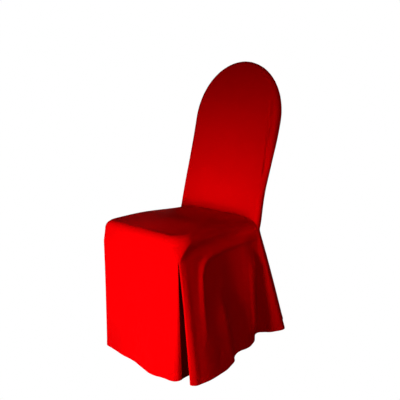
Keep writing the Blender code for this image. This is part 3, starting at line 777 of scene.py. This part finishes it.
# Side drop: threads from the seam to the hem table, x by share^late, pulled to the corner seam at
# the rear, with the soft ridge over rail and leg
def makeSideDrop(name, hem, hand, lines, seed):
    thread = spread(hem["top"], drops["threadSteps"])
    topX, topY = sideEdge(thread, cover["seamRadius"], 0.0)
    topX, topY = topX[:, None] - seamTuck(topY[:, None]), topY[:, None]
    topZ = seamHeight(topY)
    share = dropRows(drops["sideTall"])[None, :]
    hemX, hemY, hemZ, late = (
        smooth(hem["top"], hem[key], thread)[:, None] for key in ("out", "back", "up", "late"))
    fall = share * topZ
    drawn = seamTuck(topY) * ease(fall / cover["valleyLow"])
    x = topX + drawn + (hemX - topX) * share**late
    y = topY + (hemY - topY) * share
    z = topZ + (hemZ - topZ) * share
    clear = ease((y - drops["ridgeFrom"]) / (drops["ridgeFull"] - drops["ridgeFrom"]))
    clear = clear * ease(share / drops["ridgeShare"])
    x = x + railPush(y + 0.0 * x, z + 0.0 * x) * clear
    seamX, seamY, _ = cornerSeam(share, hem)
    near = ease((thread[:, None] - drops["rearTurnY"]) / (hem["top"][-1] - drops["rearTurnY"]))
    x = x + (seamX - x[-1]) * near
    y = y + (seamY - y[-1]) * near
    points = stack(hand * x, y, z)
    uv = dropUv(points)
    along = uv[..., 0]
    toCorner = walked(points[::-1], 0)[::-1]
    height = creases(y, z, lines) * ease(fall / drops["foldFall"])
    hemHigh = hemRelief(z - hemZ + 0.0 * x, along, seed + 1)
    height = height + seamPuckers(fall, along, seed) + hemHigh
    waves = restless(y * drops["sideAcross"], z * drops["waveDown"], drops["waveLong"], seed + 2)
    height = height + drops["sideWave"] * waves * ease(fall / drops["waveFall"])
    height = height * ease(toCorner / drops["cornerQuiet"])
    return panelMesh(name, points, uv, height, (hand, 0, 0), redCloth)


rightFolds = creaseTable(
    # the broad hollow behind the leg, the soft ridge beside it, and the ridge before the rear fold
    (((0.125, 0.350), (0.118, 0.250), (0.128, 0.120)), 0.018, 0.018, -0.0018, 0.3, 0.5),
    (((0.168, 0.280), (0.176, 0.220), (0.187, 0.165), (0.198, 0.100), (0.205, 0.0)),
     0.026, 0.014, 0.0080, 0.4, 0.04),
    (((0.346, 0.385), (0.354, 0.300), (0.357, 0.180), (0.350, 0.028)),
     0.030, 0.011, 0.0135, 0.3, 0.22),
    (((0.255, 0.036), (0.275, 0.046), (0.298, 0.040)), 0.0055, 0.0055, -0.0024, 0.4, 0.4),
    (((0.262, 0.020), (0.285, 0.026), (0.300, 0.018)), 0.0050, 0.0050, 0.0016, 0.4, 0.4),
    (((0.120, 0.035), (0.140, 0.060), (0.150, 0.090)), 0.0070, 0.0070, -0.0010, 0.4, 0.6),
)
leftFolds = creaseTable(
    # two soft folds down the drop, and a dent above the hem
    (((0.110, 0.320), (0.140, 0.160), (0.150, 0.000)), 0.016, 0.016, 0.0018, 0.5, 0.05),
    (((0.260, 0.340), (0.300, 0.160), (0.318, 0.000)), 0.014, 0.014, -0.0020, 0.5, 0.05),
    (((0.070, 0.030), (0.090, 0.048), (0.115, 0.040)), 0.0055, 0.0055, -0.0018, 0.4, 0.4),
)


# Rear drop, with its three broad hollows
rear = {
    "tall": 0.43, "clothLong": 0.46,
    "quiet": 0.03, "cornerQuiet": 0.004,
    "waveHigh": 0.0008, "waveLong": 0.15, "waveDown": 0.6, "waistFade": 0.02, "waistLeast": 0.2,
    # soft pull lines where the cloth turns at the waist, of an even and an uneven share
    "pullDeep": 0.0018, "pullWide": 0.010, "pullEven": 0.6, "pullUneven": 0.4, "pullLong": 0.06,
}
rearFolds = table(
    ("across", "deep", "wide"),
    (-0.105, 0.011, 0.030), (-0.020, 0.014, 0.038), (0.070, 0.010, 0.028),
)


# Half of the rear drop at one share of its height: a quarter circle from the corner seam, then in
# to the middle, less the hollows, which deepen by share^foldSwing
def rearRow(share, hand, hem):
    x, y, z = cornerSeam(share, hem)
    radius = drops["waistRadius"] + (drops["hemRadius"] - drops["waistRadius"]) * share
    angle = math.pi / 2 * back["rimShares"]
    rimX, rimY = x - radius * (1.0 - np.cos(angle)), y + radius * np.sin(angle)
    across = back["acrossShares"]
    innerX = (x - radius) * (1.0 - across)
    innerY = y + radius + drops["hemBulge"] * share * np.sin(across * math.pi / 2)
    rowX, rowY = hand * np.concatenate((rimX, innerX)), np.concatenate((rimY, innerY))
    for across, deep, wide in zip(*rearFolds.values()):
        rowY = rowY - deep * share ** drops["foldSwing"] * bump(rowX - across, wide)
    return stack(rowX, rowY, z)


# Outside back: the rear face of the dome and, in the same cut, the rear drop to the hem
def makeOutsideBack():
    face, middle, inward = backFace(-1.0)
    dome = onSlope(face[..., 0], face[..., 1], face[..., 2])
    waistLeft, waistRight = (onSlope(*np.moveaxis(toWaist(face, end), -1, 0)) for end in (0, -1))
    shares = dropRows(rear["tall"])[1:]
    left = np.stack([rearRow(share, -1.0, leftHem) for share in shares[::-1]])
    right = np.stack([rearRow(share, 1.0, rightHem) for share in shares])
    points = np.concatenate((left, waistLeft[::-1], dome, waistRight, right))
    down = cover["waistZ"] - slope["creaseZ"] - shares * rear["clothLong"]
    waistUp = toWaist(face, 0)[:, -1, 1]
    level = np.concatenate((down[::-1], waistUp[::-1], middle[:, 1], waistUp, down))
    inward = padded(inward, len(shares) + back["waistRows"])
    uv = facingUv(points, stack(0.0 * level, level), inward)
    fromSeam = walked(points, 1)
    around = walked(points, 0)[:, len(back["rimShares"]) - 1][:, None] + 0.0 * fromSeam
    x, z = points[..., 0], points[..., 2]
    isDrop = (z < cover["waistZ"]).astype(float)
    quiet = ease(fromSeam / rear["quiet"])
    waistLine = np.abs(z - cover["waistZ"])
    hemHigh = hemRelief(z - leftHem["up"][-1], x, 10) * isDrop
    height = seamPuckers(fromSeam, around, 9) + hemHigh
    waves = restless(x, z * rear["waveDown"], rear["waveLong"], 41)
    calm = quiet * ease(waistLine / rear["waistFade"] + rear["waistLeast"])
    height = height + rear["waveHigh"] * waves * calm
    pull = rear["pullEven"] + rear["pullUneven"] * restless(x, 0.0 * z, rear["pullLong"], 42)
    height = height - rear["pullDeep"] * bump(waistLine, rear["pullWide"]) * quiet * pull
    height = height * ease(fromSeam / rear["cornerQuiet"])
    return panelMesh("outsideBackCloth", points, uv, height, (0, 1, 0), redCloth)


# Sections of the pleats' underlays, from the front drop's edge round the fold to the side drop's
pleat = {"tall": 0.390, "sectionSteps": 10, "hemShare": 0.8}
rightPleat = table(
    ("topAcross", "topBack", "hemAcross", "hemBack"),
    (0.1840, 0.0030, 0.1868, 0.0146), (0.1805, 0.0080, 0.1850, 0.0340),
    (0.1790, 0.0120, 0.1870, 0.0505), (0.1860, 0.0140, 0.2080, 0.0400),
    (0.1944, 0.0150, 0.2346, 0.0150),
)
leftPleat = table(
    ("topAcross", "topBack", "hemAcross", "hemBack"),
    (0.1840, 0.0030, 0.1988, 0.0172), (0.1805, 0.0080, 0.1930, 0.0340),
    (0.1790, 0.0120, 0.1880, 0.0480), (0.1860, 0.0140, 0.1960, 0.0380),
    (0.1944, 0.0150, 0.2030, 0.0256),
)


# Pleat: its section at the seam drawn straight down to its wider section at the hem
def makePleat(name, section, hand, seed):
    knots = np.arange(float(len(section["topAcross"])))
    at = spread(knots, pleat["sectionSteps"])
    column = {key: smooth(knots, values, at)[:, None] for key, values in section.items()}
    share = dropRows(pleat["tall"])[None, :]
    x = column["topAcross"] + (column["hemAcross"] - column["topAcross"]) * share
    y = column["topBack"] + (column["hemBack"] - column["topBack"]) * share
    points = stack(hand * x, y, pleat["tall"] * (1.0 - share))
    uv = dropUv(points)
    height = hemRelief(points[..., 2], uv[..., 0], seed) * pleat["hemShare"]
    # the pleat's cloth is coloured darker as painted shade for its deep shadow
    return panelMesh(name, points, uv, height, (hand, -1, 0), pleatShadeCloth)


print("panels")
seatCloth = makeSeat()
insideBackCloth = makeInsideBack()
outsideBackCloth = makeOutsideBack()
frontDropCloth = makeFrontDrop()
rightDropCloth = makeSideDrop("rightDropCloth", rightHem, 1.0, rightFolds, 51)
leftDropCloth = makeSideDrop("leftDropCloth", leftHem, -1.0, leftFolds, 61)
rightPleatCloth = makePleat("rightPleatCloth", rightPleat, 1.0, 71)
leftPleatCloth = makePleat("leftPleatCloth", leftPleat, -1.0, 81)

for piece, node in (
    (seatCloth, "seat_top"), (insideBackCloth, "inside_back"), (outsideBackCloth, "outside_back"),
    (frontDropCloth, "front_skirt"), (rightDropCloth, "side_skirt_right"),
    (leftDropCloth, "side_skirt_left"), (rightPleatCloth, "pleat_right"),
    (leftPleatCloth, "pleat_left"),
):
    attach(piece, "root")
    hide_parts(node)


# Floor and light. The key light stands low in front, in two heights.
studio = {
    "floorSize": 60.0, "floorZ": -0.0006, "floorAlbedo": 0.30, "background": 1.0, "fill": 0.012,
    "lights": {
        "key": {"at": (0.313, -1.873, 0.51), "to": (0.0, -0.27, 0.23),
                "size": (0.36, 0.35), "power": 2.9, "spread": 51.0},
        "lowKey": {"at": (0.313, -1.873, 0.28), "to": (0.0, -0.27, 0.23),
                   "size": (0.36, 0.35), "power": 1.0, "spread": 51.0},
        "rightHigh": {"at": (1.826, -0.624, 1.5), "to": (0.0, 0.0, 0.5),
                      "size": (0.7, 0.7), "power": 6.6, "spread": 180.0},
        # out of the photograph's sight, so that the back isn't lost in the dark
        "behind": {"at": (-0.887, 1.803, 1.1), "to": (0.0, 0.2, 0.5),
                   "size": (0.9, 0.9), "power": 7.0, "spread": 180.0},
    },
}


# Right, up and away of something at one place that looks at another: away points from what it sees
# to it, and right is level
def lookAt(at, to):
    away = np.array(at, float) - np.array(to, float)
    away /= np.linalg.norm(away)
    right = np.cross((0.0, 0.0, 1.0), away)
    right /= np.linalg.norm(right)
    return right, np.cross(away, right), away


# Puts a light or the camera at a place, its axes the columns of its matrix
def placed(thing, at, right, up, away):
    thing.matrix_world = Matrix((
        (right[0], up[0], away[0], at[0]),
        (right[1], up[1], away[1], at[1]),
        (right[2], up[2], away[2], at[2]),
        (0.0, 0.0, 0.0, 1.0),
    ))


# One rectangular light of the studio
def softLight(name, light):
    lamp = bpy.data.lights.new(name, "AREA")
    lamp.shape = "RECTANGLE"
    lamp.size, lamp.size_y = light["size"]
    lamp.energy = light["power"]
    lamp.spread = math.radians(light["spread"])
    thing = bpy.data.objects.new(name, lamp)
    bpy.context.scene.collection.objects.link(thing)
    placed(thing, light["at"], *lookAt(light["at"], light["to"]))


# One shader for what the camera sees directly, another for all other light
def byRay(tree, seen, unseen, outKind):
    nodes, links = tree.nodes, tree.links
    rays, out = nodes.new("ShaderNodeLightPath"), nodes.new(outKind)
    mix = nodes.new("ShaderNodeMixShader")
    links.new(rays.outputs["Is Camera Ray"], mix.inputs["Fac"])
    links.new(unseen.outputs[0], mix.inputs[1])
    links.new(seen.outputs[0], mix.inputs[2])
    links.new(mix.outputs[0], out.inputs["Surface"])


# Pale floor: it shows as white as the background, and throws back a little light
def makeFloor():
    half, z = studio["floorSize"] / 2, studio["floorZ"]
    mesh = bpy.data.meshes.new("floor")
    corners = [(-half, -half, z), (half, -half, z), (half, half, z), (-half, half, z)]
    mesh.from_pydata(corners, [], [(0, 1, 2, 3)])
    floor = bpy.data.objects.new("floor", mesh)
    bpy.context.scene.collection.objects.link(floor)
    material = bpy.data.materials.new("paleFloor")
    material.use_nodes = True
    nodes = material.node_tree.nodes
    nodes.clear()
    glow, dull = nodes.new("ShaderNodeEmission"), nodes.new("ShaderNodeBsdfDiffuse")
    albedo = studio["floorAlbedo"]
    dull.inputs["Color"].default_value = (albedo, albedo, albedo, 1.0)
    glow.inputs["Strength"].default_value = studio["background"]
    byRay(material.node_tree, glow, dull, "ShaderNodeOutputMaterial")
    mesh.materials.append(material)


# White where the camera looks past the cover, a dim even fill for the cloth itself
def makeWorld():
    world = bpy.data.worlds.new("studio")
    bpy.context.scene.world = world
    world.use_nodes = True
    nodes = world.node_tree.nodes
    nodes.clear()
    white, fill = nodes.new("ShaderNodeBackground"), nodes.new("ShaderNodeBackground")
    fill.inputs["Strength"].default_value = studio["fill"]
    white.inputs["Strength"].default_value = studio["background"]
    for background in (white, fill):
        background.inputs["Color"].default_value = (1.0, 1.0, 1.0, 1.0)
    byRay(world.node_tree, white, fill, "ShaderNodeOutputWorld")


camera = {
    "turn": 45.55, "down": 11.47, "away": 2.041, "target": (0.0712, -0.057, 0.5406),
    "roll": -0.776, "lens": 54.0, "sensor": 36.0,
}


# The camera at the photograph's angle: turned to the right, looking down, away from its target, and
# then rolled about its own line of sight
def makeCamera():
    a, e, roll = (math.radians(camera[key]) for key in ("turn", "down", "roll"))
    away = np.array((math.sin(a) * math.cos(e), -math.cos(a) * math.cos(e), math.sin(e)))
    right = np.array((math.cos(a), math.sin(a), 0.0))
    up = np.cross(away, right)
    rolledRight = right * math.cos(roll) + up * math.sin(roll)
    rolledUp = up * math.cos(roll) - right * math.sin(roll)
    lens = bpy.data.cameras.new("camera")
    lens.lens, lens.sensor_width = camera["lens"], camera["sensor"]
    thing = bpy.data.objects.new("camera", lens)
    bpy.context.scene.collection.objects.link(thing)
    at = np.array(camera["target"]) + away * camera["away"]
    placed(thing, at, rolledRight, rolledUp, away)
    bpy.context.scene.camera = thing


print("studio")
makeFloor()
makeWorld()
for name, light in studio["lights"].items():
    softLight(name, light)
makeCamera()
bpy.context.scene.view_settings.view_transform = "Standard"

print("done")
